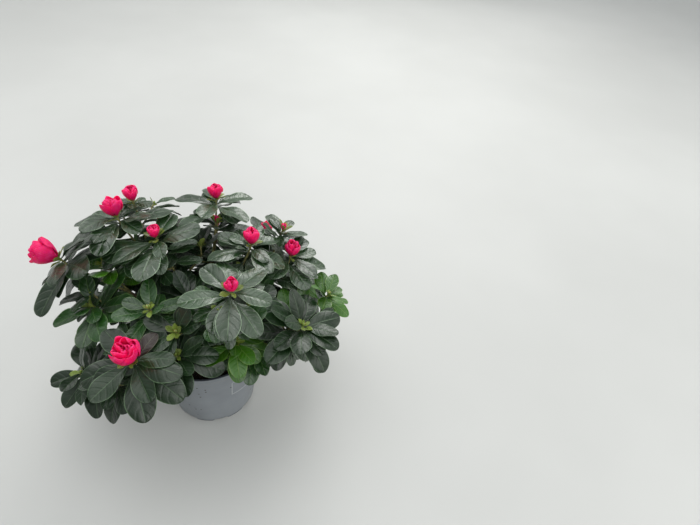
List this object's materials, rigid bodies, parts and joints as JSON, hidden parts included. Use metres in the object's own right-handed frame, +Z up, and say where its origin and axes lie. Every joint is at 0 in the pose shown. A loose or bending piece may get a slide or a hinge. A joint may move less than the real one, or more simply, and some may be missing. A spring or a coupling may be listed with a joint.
{
  "type": "potted azalea",
  "caption": "Low rounded azalea shrub in a tapered plastic pot, leafy whorls ending in buds and half-open flowers.",
  "frame": {"origin": "centre of the pot's underside, on the surface that the pot stands on", "axes": "+Z up, -Y towards the plant's front, +X to the right as seen from the front"},
  "size_m": [0.3463, 0.3127, 0.2705],
  "materials": {
    "pot_plastic": "satin",
    "peat": "matte",
    "bark": "matte",
    "foliage": "satin"
  },
  "bodies": {
    "root": {"pot": "pot_plastic", "peat": "peat", "main_stem": "bark", "bough_back_high_1": "bark", "bough_back_high_2": "bark", "bough_back_high_3": "bark", "bough_back_low_1": "bark", "bough_back_low_2": "bark", "bough_back_low_3": "bark", "bough_back_low_4": "bark", "bough_front": "bark", "bough_front_left": "bark", "bough_front_right": "bark", "bough_heart_front": "bark", "bough_left": "bark", "bough_left_top": "bark", "bough_low_right": "bark", "bough_right": "bark", "bough_right_upper": "bark", "bough_top_back": "bark", "bough_top_front": "bark", "bough_top_left": "bark", "bough_top_right": "bark", "foliage_back_high_1": "foliage", "foliage_back_high_2": "foliage", "foliage_back_high_3": "foliage", "foliage_back_low_1": "foliage", "foliage_back_low_2": "foliage", "foliage_back_low_3": "foliage", "foliage_back_low_4": "foliage", "foliage_front": "foliage", "foliage_front_left": "foliage", "foliage_front_right": "foliage", "foliage_heart_front": "foliage", "foliage_left": "foliage", "foliage_left_top": "foliage", "foliage_low_right": "foliage", "foliage_right": "foliage", "foliage_right_upper": "foliage", "foliage_top_back": "foliage", "foliage_top_front": "foliage", "foliage_top_left": "foliage", "foliage_top_right": "foliage"}
  },
  "joints": []
}
